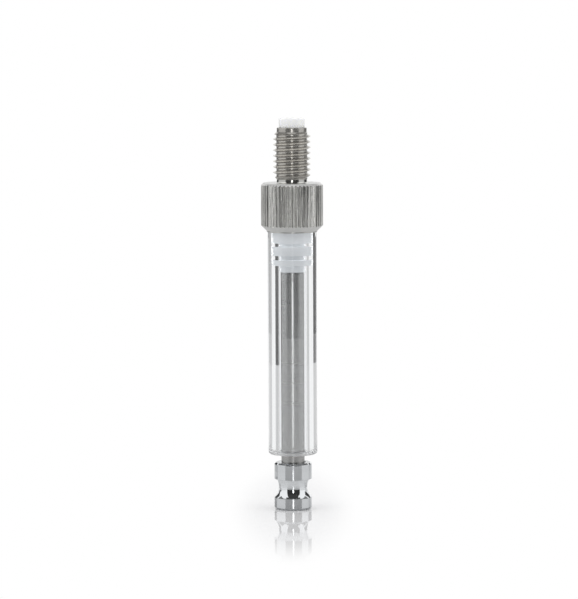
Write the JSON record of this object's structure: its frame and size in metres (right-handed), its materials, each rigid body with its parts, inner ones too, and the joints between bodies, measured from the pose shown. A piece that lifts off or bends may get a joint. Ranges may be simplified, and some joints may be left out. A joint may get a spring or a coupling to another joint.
{
  "type": "microsyringe",
  "caption": "Glass microsyringe with a knurled threaded port at the top, a sealed steel plunger and a spool-shaped drive button it stands on.",
  "frame": {"origin": "centre of the underside of the plunger button, the foot that the syringe stands on", "axes": "+Z along the common axis, from the button towards the port; +X and +Y are equivalent by symmetry"},
  "size_m": [0.0102, 0.0102, 0.0643],
  "materials": {
    "barrel_glass": "clear, polished",
    "hub_steel": "turned stainless steel, satin, knurled collar",
    "port_ptfe": "smooth translucent white PTFE",
    "rod_steel": "ground stainless steel",
    "button_chrome": "bright plated",
    "seal_ptfe": "smooth pale PTFE",
    "ring_rubber": "matt black"
  },
  "bodies": {
    "plunger": {"plunger_rod": "rod_steel", "plunger_button": "button_chrome", "plunger_seal": "seal_ptfe", "seal_o_ring": "ring_rubber"},
    "barrel": {"glass_barrel": "barrel_glass", "threaded_hub": "hub_steel", "nose_insert": "port_ptfe"}
  },
  "joints": [
    {"name": "plunger_travel", "type": "slide", "parent": "plunger", "child": "barrel", "axis": [0, 0, 1], "range_m": [0, 0.03]}
  ]
}
